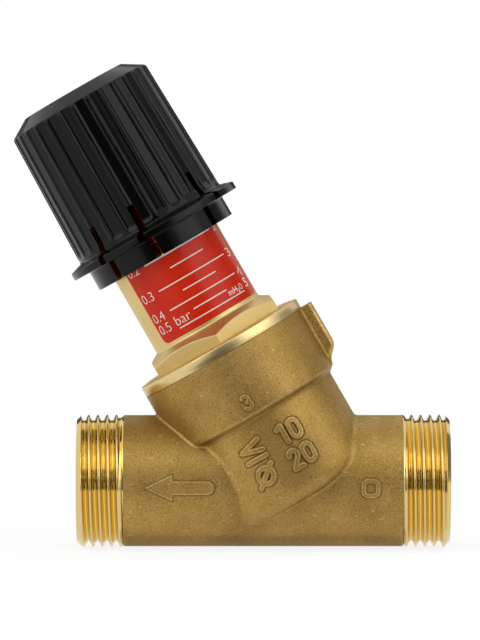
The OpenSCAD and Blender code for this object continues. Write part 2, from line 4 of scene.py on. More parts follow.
import bmesh
import bpy
import numpy as np
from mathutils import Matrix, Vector


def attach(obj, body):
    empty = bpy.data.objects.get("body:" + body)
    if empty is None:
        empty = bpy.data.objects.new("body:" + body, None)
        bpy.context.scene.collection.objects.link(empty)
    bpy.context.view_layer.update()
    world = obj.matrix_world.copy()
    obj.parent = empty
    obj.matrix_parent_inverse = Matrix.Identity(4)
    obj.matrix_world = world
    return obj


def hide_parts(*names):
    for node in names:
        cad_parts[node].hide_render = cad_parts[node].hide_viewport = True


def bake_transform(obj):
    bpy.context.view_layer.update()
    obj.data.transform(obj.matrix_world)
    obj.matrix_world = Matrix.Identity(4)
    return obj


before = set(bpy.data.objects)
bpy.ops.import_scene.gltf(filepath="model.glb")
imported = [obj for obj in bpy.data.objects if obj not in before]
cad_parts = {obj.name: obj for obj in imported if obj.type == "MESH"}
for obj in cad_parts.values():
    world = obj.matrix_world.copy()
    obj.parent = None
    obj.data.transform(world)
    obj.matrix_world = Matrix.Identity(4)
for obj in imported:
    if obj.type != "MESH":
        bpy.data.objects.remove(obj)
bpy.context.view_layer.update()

# Lengths are in millimetres until add_mesh() turns them into metres. Heights run up the bonnet's axis.
MM = 0.001
TURN = 2 * np.pi

# Run and pipe threads
RUN_LENGTH, RUN_R = 93.0, 16.4
THREAD_LENGTH, THREAD_PITCH, THREAD_DEPTH = 11.7, 2.309, 1.479
THREAD_R, PORT_R = 16.6, 12.0

# Bonnet's axis
TILT = math.radians(30)
CROSSING = np.array([-37.8, 0.0, 0.0])
AXIS = np.array([-math.sin(TILT), 0.0, math.cos(TILT)])
SIDE = np.array([math.cos(TILT), 0.0, math.sin(TILT)])

# Neck, head and lug of the casting
NECK_R, NECK_FOOT, NECK_POWER = 20.5, -3.9, 2.25
SQUARE_BELOW, SQUARE_FADE = 17.0, 9.0
HEAD_R, SHOULDER, HEAD_TOP = 22.3, 20.2, 37.1
LUG_ROOT, LUG_REACH, LUG_FOOT, LUG_SLOPE, LUG_HALF = 17.0, 25.2, 25.4, 1.061, 5.0
NECK_FILLET, LUG_FILLET, RUN_FILLET = 1.2, 0.8, 0.6
NECK_ROUND, HEAD_ROUND, LUG_TIP_ROUND, LUG_SIDE_ROUND = 4.5, 1.5, 0.8, 1.1


# Meshes

def on_bonnet(side, depth, height):
    """Points in the part's frame from the bonnet's own side, depth and height."""
    side, depth, height = np.broadcast_arrays(side, depth, height)
    points = CROSSING + side[..., None] * SIDE + height[..., None] * AXIS
    points[..., 1] += depth
    return points


def turned(angle, radius, height):
    """Points round the bonnet's axis: angle 0 is at the front and grows to the right."""
    return on_bonnet(radius * np.sin(angle), -radius * np.cos(angle), height)


def bonnet_coordinates(points):
    """Side, depth and height in the bonnet's frame of points in the part's frame."""
    offset = points - CROSSING
    return offset @ SIDE, offset[:, 1], offset @ AXIS


def grid_quads(rows, columns, wrap_columns=True, wrap_rows=False):
    """Quads of a grid of points in row order, closed round its columns or rows where asked."""
    r = np.arange(rows if wrap_rows else rows - 1)
    c = np.arange(columns if wrap_columns else columns - 1)
    r, c = np.meshgrid(r, c, indexing="ij")
    up, right = (r + 1) % rows, (c + 1) % columns
    quads = np.stack([r * columns + c, r * columns + right, up * columns + right, up * columns + c], axis=-1)
    return quads.reshape(-1, 4)


def lathe_rows(first, radius, place, last):
    """Radii and places of a turned profile's rows: plain rings, given as pairs of radius and place, then
    rows whose radius changes with the angle, then plain rings again."""
    first, last = np.array(first), np.array(last)
    rings = [np.repeat(ends[:, :1], radius.shape[1], axis=1) for ends in (first, last)]
    return np.vstack([rings[0], radius, rings[1]]), np.concatenate([first[:, 1], place, last[:, 1]])


def turned_uv(angle, place):
    """UV map of a turned piece: the share of a turn, and the place along the axis in millimetres."""
    return np.stack(np.meshgrid(angle / TURN, place), axis=-1)


def mesh_arrays(mesh):
    """Points and triangles of a mesh, in its own unit."""
    mesh.calc_loop_triangles()
    points = np.empty(len(mesh.vertices) * 3, np.float32)
    mesh.vertices.foreach_get("co", points)
    triangles = np.empty(len(mesh.loop_triangles) * 3, np.int32)
    mesh.loop_triangles.foreach_get("vertices", triangles)
    return points.reshape(-1, 3).astype(float), triangles.reshape(-1, 3).astype(int)


def new_object(name, data):
    """An object with that data, put into the scene."""
    made = bpy.data.objects.new(name, data)
    bpy.context.scene.collection.objects.link(made)
    return made


def add_mesh(name, points, faces, material, body, replaces=(),
             normals=None, uv=None, sharp=None, wear_and_painted_light=None):
    """Makes a piece from points in millimetres, with a material and a slot, on a CAD body if one is named."""
    mesh = bpy.data.meshes.new(name)
    faces = faces.tolist() if isinstance(faces, np.ndarray) else faces
    mesh.from_pydata((points.reshape(-1, 3) * MM).tolist(), [], faces)
    mesh.polygons.foreach_set("use_smooth", np.ones(len(mesh.polygons), bool))
    if uv is not None:
        layer = mesh.uv_layers.new(name="UVMap")
        corners = np.zeros(len(mesh.loops), np.int32)
        mesh.loops.foreach_get("vertex_index", corners)
        layer.data.foreach_set("uv", np.asarray(uv, np.float32).reshape(-1, 2)[corners].ravel())
    if wear_and_painted_light is not None:
        values = np.asarray(wear_and_painted_light, np.float32).ravel()
        mesh.attributes.new("wear_and_painted_light", "FLOAT", "POINT").data.foreach_set("value", values)
    mesh.materials.append(material)
    mesh.update()
    if sharp is not None:
        mesh.set_sharp_from_angle(angle=math.radians(sharp))
    if normals is not None:
        mesh.normals_split_custom_set_from_vertices(normals.tolist())
    piece = new_object(name, mesh)
    if body:
        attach(piece, body)
    if replaces:
        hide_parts(*replaces)
    return piece


# Materials

def linear(hex_colour):
    """Linear RGBA of an sRGB colour such as #a07c44."""
    values = [int(hex_colour[i:i + 2], 16) / 255 for i in (1, 3, 5)]
    return [v / 12.92 if v <= 0.04045 else ((v + 0.055) / 1.055) ** 2.4 for v in values] + [1.0]


def node(tree, kind, inputs=None, stops=(), **settings):
    """Adds a shader node with its settings, a ramp's stops, and inputs that are values or other nodes."""
    made = tree.nodes.new("ShaderNode" + kind)
    for key, value in settings.items():
        setattr(made, key, value)
    for key, value in (inputs or {}).items():
        if isinstance(value, bpy.types.Node):
            value = value.outputs[0]
        if isinstance(value, bpy.types.NodeSocket):
            tree.links.new(value, made.inputs[key])
        else:
            made.inputs[key].default_value = value
    for i, (place, colour) in enumerate(stops):
        element = made.color_ramp.elements[i] if i < 2 else made.color_ramp.elements.new(place)
        element.position, element.color = place, linear(colour)
    return made


def per_mm(size):
    """Scale of a pattern whose features are about that many millimetres across."""
    return 1 / (size * MM)


def shader_material(name, build):
    """A material whose shader is what build() adds to its tree."""
    material = bpy.data.materials.new(name)
    material.use_nodes = True
    tree = material.node_tree
    tree.nodes.clear()
    node(tree, "OutputMaterial", {"Surface": build(tree)})
    return material


def new_material(name, pattern, **constants):
    """A material with one Principled shader: the pattern drives some inputs, and constants set the rest."""
    inputs = {k.replace("_", " ").title().replace("Ior", "IOR"): v for k, v in constants.items()}
    return shader_material(name, lambda tree: node(tree, "BsdfPrincipled", {**inputs, **pattern(tree)}))


def cast_brass_pattern(tree):
    """Blasted casting: cloudy colour over 12 mm, pits of blasting grit, painted shade in the corners, on the
    run beside the neck's foot and at the marks' feet, slanted scratches 2.3 mm long, and bright metal where
    handling has worn the edges in scuffs of 1.6 mm, which is also painted as highlights on the marks' rims
    and on the upper fillet of the neck's foot. The pits of real grit, 0.15 mm across, are too fine to show,
    so they are drawn
    0.33 mm across."""
    place = node(tree, "TexCoord").outputs["Object"]
    cloud, grain, scuff = (
        node(tree, "TexNoise", {"Vector": place, "Scale": per_mm(size), "Detail": detail, "Roughness": rough})
        for size, detail, rough in ((12.0, 4.0, 0.6), (0.33, 3.0, 0.7), (1.6, 4.0, 0.7)))
    colour = node(tree, "ValToRGB", {"Fac": cloud}, zip((0.32, 0.5, 0.68), CAST))
    speckle = node(tree, "ValToRGB", {"Fac": grain}, zip((0.3, 0.5, 0.68), PITS))
    base = node(tree, "Mix", {0: 1.0, 6: colour, 7: speckle}, data_type="RGBA", blend_type="MULTIPLY")
    wear_and_painted_light = node(tree, "Attribute", attribute_name="wear_and_painted_light").outputs["Fac"]
    # Painted shade where the attribute falls below zero: corners, the run beside the neck's foot, the marks'
    # feet
    painted_shade_amount = node(tree, "MapRange", {"Value": wear_and_painted_light, "From Min": 0.0, "From Max": -1.0, "To Max": 0.6})
    base = node(tree, "Mix", {0: painted_shade_amount, 6: base.outputs[2], 7: linear(PAINTED_SHADE)}, data_type="RGBA")
    fleck = 0.0
    for turn in ((0.4, 0.9, 0.3), (1.2, -0.5, 0.8)):
        slanted = node(tree, "Mapping", {"Vector": place, "Rotation": turn, "Scale": (0.22, 1.0, 1.0)})
        scratch = node(tree, "TexNoise", {"Vector": slanted, "Scale": per_mm(0.5), "Detail": 2.0})
        scratch = node(tree, "MapRange",
                       {"Value": scratch, "From Min": 0.695, "From Max": 0.755, "To Max": 0.6})
        fleck = node(tree, "Math", {0: fleck, 1: scratch}, operation="MAXIMUM")
    # Worn edges, and painted highlights on the marks' rims and the neck's foot fillet, broken up by the
    # scuffs
    rubbed_and_highlit = node(tree, "Math", {0: wear_and_painted_light, 1: scuff}, operation="MULTIPLY")
    rubbed_and_highlit = node(tree, "MapRange", {"Value": rubbed_and_highlit, "From Min": 0.22, "From Max": 0.66, "To Max": 0.9})
    rubbed_and_highlit = node(tree, "Math", {0: rubbed_and_highlit, 1: fleck}, operation="MAXIMUM")
    base = node(tree, "Mix", {0: rubbed_and_highlit, 6: base.outputs[2], 7: linear(RUBBED_AND_HIGHLIGHT)}, data_type="RGBA")
    rough = node(tree, "MapRange",
                 {"Value": grain, "From Min": 0.3, "From Max": 0.7, "To Min": 0.46, "To Max": 0.6})
    rough = node(tree, "Math", {0: rubbed_and_highlit, 1: -0.16, 2: rough}, operation="MULTIPLY_ADD")
    relief = node(tree, "Bump", {"Height": grain, "Distance": 0.05 * MM, "Strength": 0.8})
    return {"Base Color": base.outputs[2], "Roughness": rough, "Normal": relief}


def turned_material(name, dark, light, crest, rough, polish=0.0, **constants):
    """Turned metal: tool lines lie along the UV map's second direction, which is in millimetres. The colour
    drifts a little over 6 mm, and what is worn is paler, and smoother by polish. The tool's feed, 0.1 mm a
    turn, is too fine to show, so the lines are drawn 0.15 mm apart."""
    def pattern(tree):
        coordinates = node(tree, "TexCoord")
        split = node(tree, "SeparateXYZ", {"Vector": coordinates.outputs["UV"]})
        lines = node(tree, "TexNoise", {"W": split.outputs["Y"], "Scale": 1 / 0.15, "Detail": 3.0},
                     noise_dimensions="1D")
        cloud = node(tree, "TexNoise",
                     {"Vector": coordinates.outputs["Object"], "Scale": per_mm(6.0), "Detail": 3.0})
        colour = node(tree, "ValToRGB", {"Fac": cloud}, [(0.3, dark), (0.7, light)])
        wear_and_painted_light = node(tree, "Attribute", attribute_name="wear_and_painted_light").outputs["Fac"]
        colour = node(tree, "Mix", {0: wear_and_painted_light, 6: colour, 7: linear(crest)}, data_type="RGBA").outputs[2]
        sheen = node(tree, "MapRange", {"Value": lines, "From Min": 0.3, "From Max": 0.7,
                                        "To Min": rough[0], "To Max": rough[1]})
        sheen = node(tree, "Math", {0: wear_and_painted_light, 1: -polish, 2: sheen}, operation="MULTIPLY_ADD")
        relief = node(tree, "Bump", {"Height": lines, "Distance": 0.006 * MM, "Strength": 0.5})
        return {"Base Color": colour, "Roughness": sheen, "Normal": relief}
    return new_material(name, pattern, **constants)


def grained_material(name, dark, light, rough, grain_mm, depth_mm, **constants):
    """Fine even grain: it changes the shine and stands up a little, and the colour drifts over 5 mm."""
    def pattern(tree):
        place = node(tree, "TexCoord").outputs["Object"]
        cloud = node(tree, "TexNoise", {"Vector": place, "Scale": per_mm(5.0), "Detail": 3.0})
        grain = node(tree, "TexNoise", {"Vector": place, "Scale": per_mm(grain_mm), "Detail": 2.0})
        colour = node(tree, "ValToRGB", {"Fac": cloud}, [(0.3, dark), (0.7, light)])
        sheen = node(tree, "MapRange", {"Value": grain, "From Min": 0.3, "From Max": 0.7,
                                        "To Min": rough[0], "To Max": rough[1]})
        relief = node(tree, "Bump", {"Height": grain, "Distance": depth_mm * MM, "Strength": 0.4})
        return {"Base Color": colour, "Roughness": sheen, "Normal": relief}
    return new_material(name, pattern, **constants)


# Sand-cast brass, blasted and left to tarnish: matt olive gold, with brighter worn edges, painted highlights
# on the marks' rims and the neck's foot fillet, and painted shade in corners, beside the neck's foot and at
# the marks' feet
CAST = ["#ae9153", "#bd9d5c", "#c9aa68"]
PITS = ["#aaa08a", "#eae4d8", "#ffffff"]
# Bright worn metal, also used for painted highlights, and the colour of painted shade
RUBBED_AND_HIGHLIGHT, PAINTED_SHADE = "#e2cb94", "#4a3614"
cast_brass = new_material("cast_brass", cast_brass_pattern, metallic=1.0)
# Brass turned on a lathe: satin, pale, streaked round its axis
turned_brass = turned_material("turned_brass", "#d4ba7a", "#dcc386", "#dfc993", (0.38, 0.5), polish=0.2,
                               metallic=1.0, anisotropic=0.4)
# Brass cut by a thread die: deeper gold, because light bounces between its flanks
thread_brass = turned_material("thread_brass", "#e3c060", "#e9c86a", "#dac286", (0.1, 0.15), metallic=1.0)
# Bored brass inside the body: plain, a little dull
bore_brass = grained_material("bored_brass", "#c09c58", "#cba864", (0.35, 0.45), grain_mm=0.6, depth_mm=0.01,
                              metallic=1.0)
# Moulded polyamide: deep black with a fine eroded grain, which shines only where it turns away
black_plastic = grained_material("black_polyamide", "#010101", "#020203", (0.18, 0.25), grain_mm=0.35,
                                 depth_mm=0.01, specular_ior_level=0.2)
# Polyester film printed red: even colour and a soft gloss
red_film = grained_material("red_film", "#b81f03", "#c02405", (0.2, 0.26), grain_mm=0.8, depth_mm=0.004,
                            specular_ior_level=0.2)
# Screen-printed ink: off-white and matt
white_ink = grained_material("white_ink", "#d2ccc4", "#dcd6ce", (0.45, 0.55), grain_mm=0.3, depth_mm=0.004)
# Stainless steel, turned bright
steel = grained_material("stainless_steel", "#bfc1c3", "#c9cbcd", (0.22, 0.34), grain_mm=0.4, depth_mm=0.004,
                         metallic=1.0)
# Drawn spring wire: darker, with a dull skin
spring_steel = grained_material("spring_steel", "#a9abaf", "#b9bbbf", (0.3, 0.42), grain_mm=0.3,
                                depth_mm=0.006, metallic=1.0)
# Nitrile rubber: dark and matt
rubber = grained_material("nitrile_rubber", "#1a1a1a", "#232323", (0.62, 0.75), grain_mm=0.4, depth_mm=0.01)
# Acetal, turned from rod: milky and smooth
acetal = grained_material("acetal", "#e5e1d5", "#ece8de", (0.35, 0.45), grain_mm=0.4, depth_mm=0.005)


# Casting

def round_union(a, b, radius):
    """Distance to two bodies joined by a hollow fillet of that radius."""
    u, v = np.maximum(radius - a, 0), np.maximum(radius - b, 0)
    return np.maximum(radius, np.minimum(a, b)) - np.sqrt(u * u + v * v)


def round_corner(a, b, radius):
    """Distance to where two half spaces overlap, with their edge rounded to that radius."""
    u, v = np.maximum(a + radius, 0), np.maximum(b + radius, 0)
    return np.minimum(np.maximum(a, b) + radius, 0) + np.sqrt(u * u + v * v) - radius


def run_distance(points):
    """Distance of points to the run's barrel."""
    return np.sqrt(points[:, 1] ** 2 + points[:, 2] ** 2) - RUN_R


def upper_distance(points):
    """Distance of points to neck, head and lug, joined with casting fillets. The neck's section is a little
    squarer than a circle low down, and its foot is rounded like a bowl."""
    side, depth, height = bonnet_coordinates(points)
    out = np.sqrt(side * side + depth * depth)
    squarish = (np.abs(side) ** NECK_POWER + np.abs(depth) ** NECK_POWER) ** (1 / NECK_POWER)
    section = out + (squarish - out) * np.clip((SQUARE_BELOW - height) / SQUARE_FADE, 0, 1)
    neck = round_corner(section - NECK_R, NECK_FOOT - height, NECK_ROUND)
    head = round_corner(out - HEAD_R, SHOULDER - height, HEAD_ROUND)
    under = ((side - LUG_REACH) * LUG_SLOPE - (height - LUG_FOOT)) / math.hypot(LUG_SLOPE, 1)
    tip = round_corner(side - LUG_REACH, under, LUG_TIP_ROUND)
    lug = np.maximum(round_corner(tip, np.abs(depth) - LUG_HALF, LUG_SIDE_ROUND), LUG_ROOT - side)
    return round_union(round_union(neck, head, NECK_FILLET), lug, LUG_FILLET)


def casting_distance(points):
    """Distance of points to the casting's skin: the run and what stands on it, with a fillet between."""
    return round_union(run_distance(points), upper_distance(points), RUN_FILLET)


def unit(vectors):
    """Vectors made one long."""
    return vectors / np.linalg.norm(vectors, axis=1)[:, None]


def gradient(field, points, step=0.02):
    """Gradient of a field of points, from central differences."""
    ways = [field(points + shift) - field(points - shift) for shift in step * np.eye(3)]
    return np.stack(ways, axis=1) / (2 * step)


def onto_skin(field, points, rounds=4):
    """Moves points along the field's gradient until the field is zero there."""
    for _ in range(rounds):
        slope = gradient(field, points)
        points = points - slope * (field(points) / np.maximum((slope ** 2).sum(1), 1e-6))[:, None]
    return points


def skin_mesh(field, low, high, cell):
    """Points and triangles of a field's zero skin: one point in each grid cell that the skin crosses,
    joined across every grid edge whose two ends lie on different sides."""
    axes = [np.arange(a, b + cell, cell) for a, b in zip(low, high)]
    shape = tuple(len(a) for a in axes)
    inside = np.empty(shape, bool)
    plane = np.stack(np.meshgrid(axes[1], axes[2], indexing="ij"), axis=-1).reshape(-1, 2)
    for i, x in enumerate(axes[0]):
        inside[i] = (field(np.column_stack([np.full(len(plane), x), plane])) < 0).reshape(shape[1:])
    corners = sum(inside[i:shape[0] - 1 + i, j:shape[1] - 1 + j, k:shape[2] - 1 + k].astype(np.int8)
                  for i in (0, 1) for j in (0, 1) for k in (0, 1))
    crossed = (corners > 0) & (corners < 8)
    index = np.full(crossed.shape, -1, np.int64)
    cells = np.argwhere(crossed)
    index[crossed] = np.arange(len(cells))
    points = np.asarray(low) + (cells + 0.5) * cell
    quads = []
    for k in range(3):
        u, v = (k + 1) % 3, (k + 2) % 3
        a, b = np.take(inside, range(shape[k] - 1), axis=k), np.take(inside, range(1, shape[k]), axis=k)
        edges = np.argwhere(a != b)
        leaving = a[tuple(edges.T)]
        near = np.all([(edges[:, w] > 0) & (edges[:, w] < shape[w] - 1) for w in (u, v)], axis=0)
        edges, leaving = edges[near], leaving[near]
        back_u, back_v = np.eye(3, dtype=int)[[u, v]]
        ring = np.stack([index[tuple((edges - back).T)]
                         for back in (back_u + back_v, back_v, 0 * back_u, back_u)], axis=1)
        ring[~leaving] = ring[~leaving][:, ::-1]
        quads.append(ring)
    quads = np.concatenate(quads)
    points = onto_skin(field, points, 6)
    return points, np.concatenate([quads[:, [0, 1, 2]], quads[:, [0, 2, 3]]])


def refined(points, triangles, chosen):
    """Halves every edge of the chosen triangles, and cuts their neighbours to match."""
    edges = np.sort(np.stack([triangles, np.roll(triangles, -1, axis=1)], axis=-1), axis=-1)
    keys = edges[..., 0] * len(points) + edges[..., 1]
    cut_keys = np.unique(keys[chosen])
    place = np.searchsorted(cut_keys, keys).clip(0, len(cut_keys) - 1)
    cut = cut_keys[place] == keys
    middle = np.where(cut, len(points) + place, -1)
    added = (points[cut_keys // len(points)] + points[cut_keys % len(points)]) / 2
    count = cut.sum(1)
    made = [triangles[count == 0]]
    a, m = triangles[count == 3], middle[count == 3]
    made += [np.column_stack([a[:, i], m[:, i], m[:, i - 1]]) for i in range(3)] + [m]
    for i in range(3):
        one = (count == 1) & cut[:, i]
        a, m = np.roll(triangles[one], -i, axis=1), middle[one, i]
        made += [np.column_stack([a[:, 0], m, a[:, 2]]), np.column_stack([m, a[:, 1], a[:, 2]])]
        two = (count == 2) & ~cut[:, i]
        a, m = np.roll(triangles[two], -i, axis=1), np.roll(middle[two], -i, axis=1)
        made += [np.column_stack([a[:, 2], m[:, 2], m[:, 1]]), np.column_stack([a[:, 0], a[:, 1], m[:, 1]]),
                 np.column_stack([a[:, 0], m[:, 1], m[:, 2]])]
    return np.concatenate([points, added]), np.concatenate(made)


def arc(cx, cy, rx, ry, start, end, steps=14):
    """Points along an ellipse from one angle to another, in degrees."""
    a = np.radians(np.linspace(start, end, steps))
    return np.column_stack([cx + rx * np.cos(a), cy + ry * np.sin(a)])


# Raised marks as strokes: one unit high, with their middle at the origin
DIGIT_1 = [[[-0.2, 0.3], [0.04, 0.42], [0.04, -0.42]]]
DIGIT_0 = [np.concatenate([arc(0, 0.19, 0.23, 0.23, 0, 180), arc(0, -0.19, 0.23, 0.23, 180, 360),
                           [[0.23, 0.19]]])]
DIGIT_2 = [np.concatenate([arc(0, 0.2, 0.21, 0.22, 170, -40), [[-0.22, -0.42], [0.22, -0.42]]])]
DIGIT_3 = [np.concatenate([arc(0, 0.2, 0.22, 0.22, 150, -80), arc(0, -0.2, 0.25, 0.23, 80, -150)])]
AT_MOST = [[[0.5, 0.42], [-0.5, 0.14], [0.5, -0.12]], [[-0.5, -0.42], [0.5, -0.42]]]
ROUND = [arc(0, 0, 0.38, 0.38, 0, 360, 30), [[-0.5, -0.42], [0.5, 0.42]]]
RING = [np.concatenate([arc(x, y, 0.3, 0.3, turn, turn + 90, 6) for x, y, turn in (
    (0.2, 0.2, 0), (-0.2, 0.2, 90), (-0.2, -0.2, 180), (0.2, -0.2, 270))] + [[[0.5, 0.2]]])]


def placed(strokes, x, y, height):
    """Strokes moved to a place and made that high."""
    return [np.array(stroke) * height + [x, y] for stroke in strokes]


def stroke_distance(u, v, strokes):
    """Distance of flat points to the nearest of the strokes."""
    least = np.full(len(u), 1e9)
    for stroke in strokes:
        for (ax, ay), (bx, by) in zip(stroke[:-1], stroke[1:]):
            dx, dy = bx - ax, by - ay
            t = np.clip(((u - ax) * dx + (v - ay) * dy) / max(dx * dx + dy * dy, 1e-9), 0, 1)
            least = np.minimum(least, np.hypot(u - ax - t * dx, v - ay - t * dy))
    return least


# Flow arrow: where its tip stands on the run, its length, its head's length, half its shaft's width, how
# its head widens, and its blunt tip
ARROW_TIP, ARROW_UP = -75.3, -0.9
ARROW_LENGTH, ARROW_HEAD, ARROW_HALF = 14.9, 6.0, 1.45
ARROW_FLARE, ARROW_BLUNT = 0.47, 0.2


def arrow_distance(u, v):
    """Signed distance of flat points to the flow arrow, which points to -u with a round tail: the nearer of
    a shaft and a triangle, grown by a quarter of a millimetre so that its corners are round."""
    shaft = np.hypot(u - np.clip(u, 0.0, ARROW_LENGTH), v) - ARROW_HALF
    shaft = np.maximum(shaft, ARROW_HEAD - 2.0 - u)
    half = (np.clip(u, -ARROW_BLUNT, ARROW_HEAD) + ARROW_BLUNT) * ARROW_FLARE
    flanks = (np.abs(v) - half) / math.hypot(1, ARROW_FLARE)
    head = np.maximum(flanks, np.maximum(u - ARROW_HEAD, -ARROW_BLUNT - u))
    return np.minimum(head, shaft) - 0.25


NECK_ROWS = ((AT_MOST, -5.9, 12.9), (DIGIT_1, 3.1, 12.9), (DIGIT_0, 6.3, 12.9),
             (ROUND, -5.9, 6.1), (DIGIT_2, 2.6, 6.1), (DIGIT_0, 6.4, 6.1))
NECK_MARKS = [stroke for mark, u, v in NECK_ROWS for stroke in placed(mark, u, v, 5.3)]
HEAD_MARKS = placed(DIGIT_3, -0.9, 24.2, 3.9)
RUN_MARKS = placed(RING, -19.9, -1.0, 3.6)
# How far the marks stand up, half the width of their strokes, and the width of their soft edges
NECK_RISE, HEAD_RISE, RUN_RISE = 0.65, 0.35, 0.5
NECK_STROKE, HEAD_STROKE, RUN_STROKE = 0.72, 0.45, 0.6
EDGE, HEAD_EDGE = 0.4, 0.35
FAR = 9.0


def raised_marks(points):
    """For each group of raised marks: signed distance to its outline, its rise and its edge's width. The
    distance is FAR outside the group's own field."""
    side, depth, height = bonnet_coordinates(points)
    x, y, z = points.T
    out = np.hypot(side, depth)
    around = np.arctan2(side, -depth) * out
    up = np.arctan2(z, -y) * RUN_R
    on_neck = (y < 0) & (out < NECK_R + 1.4) & (height > 2.0) & (height < SHOULDER - 1.2)
    on_head = (y < 0) & (out > HEAD_R - 0.8) & (height > SHOULDER + 0.8)
    on_run = (y < 0) & ~on_neck & (np.hypot(y, z) < RUN_R + 0.6)
    groups = ((on_neck & (np.abs(around) < 11), around, height, NECK_MARKS, NECK_STROKE, NECK_RISE, EDGE),
              (on_head & (np.abs(around) < 5), around, height, HEAD_MARKS, HEAD_STROKE, HEAD_RISE, HEAD_EDGE),
              (on_run & (x > -25), x, up, RUN_MARKS, RUN_STROKE, RUN_RISE, EDGE))
    found = []
    for here, u, v, strokes, half, rise, edge in groups:
        distance = np.full(len(points), FAR)
        distance[here] = stroke_distance(u[here], v[here], strokes) - half
        found.append((distance, rise, edge))
    arrow = np.where(on_run & (x < -55), arrow_distance(x - ARROW_TIP, up - ARROW_UP), FAR)
    return found + [(arrow, RUN_RISE, EDGE)]


def relief(points):
    """Height of the raised marks above the skin, with soft steps at their outlines."""
    found = np.zeros(len(points))
    for distance, rise, edge in raised_marks(points):
        step = np.clip(0.5 - distance / edge, 0, 1)
        found = np.maximum(found, rise * step * step * (3 - 2 * step))
    return found


def skin_wear_and_painted_light(points):
    """How worn the skin is, with painted light: up to 1 on outer edges, and as painted highlights on the
    upper fillet of the neck's foot and on marks' rims, and down to -1 as painted shade in corners, on the run
    beside that foot and at the marks' feet."""
    step = 0.5
    around = sum(casting_distance(points + s * step * a) for a in np.eye(3) for s in (-1, 1))
    bend = (around - 6 * casting_distance(points)) / step ** 2
    above, aside = run_distance(points), upper_distance(points)
    wear_and_painted_light = np.clip((bend - 0.4) / 0.5, 0, 0.75)
    # Painted shade in concave corners more than 1 mm off the run
    wear_and_painted_light = wear_and_painted_light - 0.5 * np.clip(above - 1.0, 0, 1) * np.clip(-bend / 1.2, 0, 1)
    # Painted shade on the run beside the neck's foot, deeper on the left side
    beside = np.exp(-np.maximum(aside, 0) / 3.5) * (above < 0.3) * np.clip((aside - 0.25) / 0.3, 0, 1)
    wear_and_painted_light = wear_and_painted_light - np.where(bonnet_coordinates(points)[0] < 0, 0.5, 0.3) * beside
    # Painted highlight along the upper fillet of the neck's foot, fading out low on the run
    fillet = np.exp(-(np.maximum(above, 0) - 0.35) ** 2 / 0.36) * np.clip((0.35 - aside) / 0.2, 0, 1)
    wear_and_painted_light = wear_and_painted_light + 0.48 * np.clip((points[:, 2] + 6.0) / 5.0, 0, 1) * fillet
    # Painted highlights on the marks' rims, and painted shadow at their feet
    for distance, _, edge in raised_marks(points):
        rim, foot = (distance + 0.6 * edge) / 0.16, (distance - 0.5 * edge) / 0.16
        wear_and_painted_light = wear_and_painted_light + 0.9 * np.exp(-rim * rim) - 0.9 * np.exp(-foot * foot)
    return np.clip(wear_and_painted_light, -1, 1)


def cut_flat(points, triangles):
    """Points and triangles of a skin without what lies past the run's two shoulders and the head's top."""
    work = bpy.data.meshes.new("casting_work")
    work.from_pydata(points.tolist(), [], triangles.tolist())
    cutter = bmesh.new()
    cutter.from_mesh(work)
    ends = ((-THREAD_LENGTH, 0, 0), (THREAD_LENGTH - RUN_LENGTH, 0, 0), CROSSING + HEAD_TOP * AXIS)
    for place, normal in zip(ends, ((1, 0, 0), (-1, 0, 0), AXIS)):
        geometry = cutter.verts[:] + cutter.edges[:] + cutter.faces[:]
        bmesh.ops.bisect_plane(cutter, geom=geometry, plane_co=place, plane_no=normal, clear_outer=True)
    bmesh.ops.triangulate(cutter, faces=cutter.faces[:])
    cutter.to_mesh(work)
    cutter.free()
    found = mesh_arrays(work)
    bpy.data.meshes.remove(work)
    return found


def open_edges(triangles):
    """Edges that belong to one triangle only, in that triangle's own direction."""
    edges = np.stack([triangles, np.roll(triangles, -1, axis=1)], axis=-1).reshape(-1, 2)
    keys = edges.min(axis=1) * (triangles.max() + 1) + edges.max(axis=1)
    _, first, count = np.unique(keys, return_index=True, return_counts=True)
    return edges[first[count == 1]]


SKIN_LOW, SKIN_HIGH, SKIN_CELL = (-83.0, -23.6, -17.4), (-10.0, 23.6, 47.4), 0.55
HEAD_BORE_R, SHOULDER_INNER_R = 18.05, 13.0


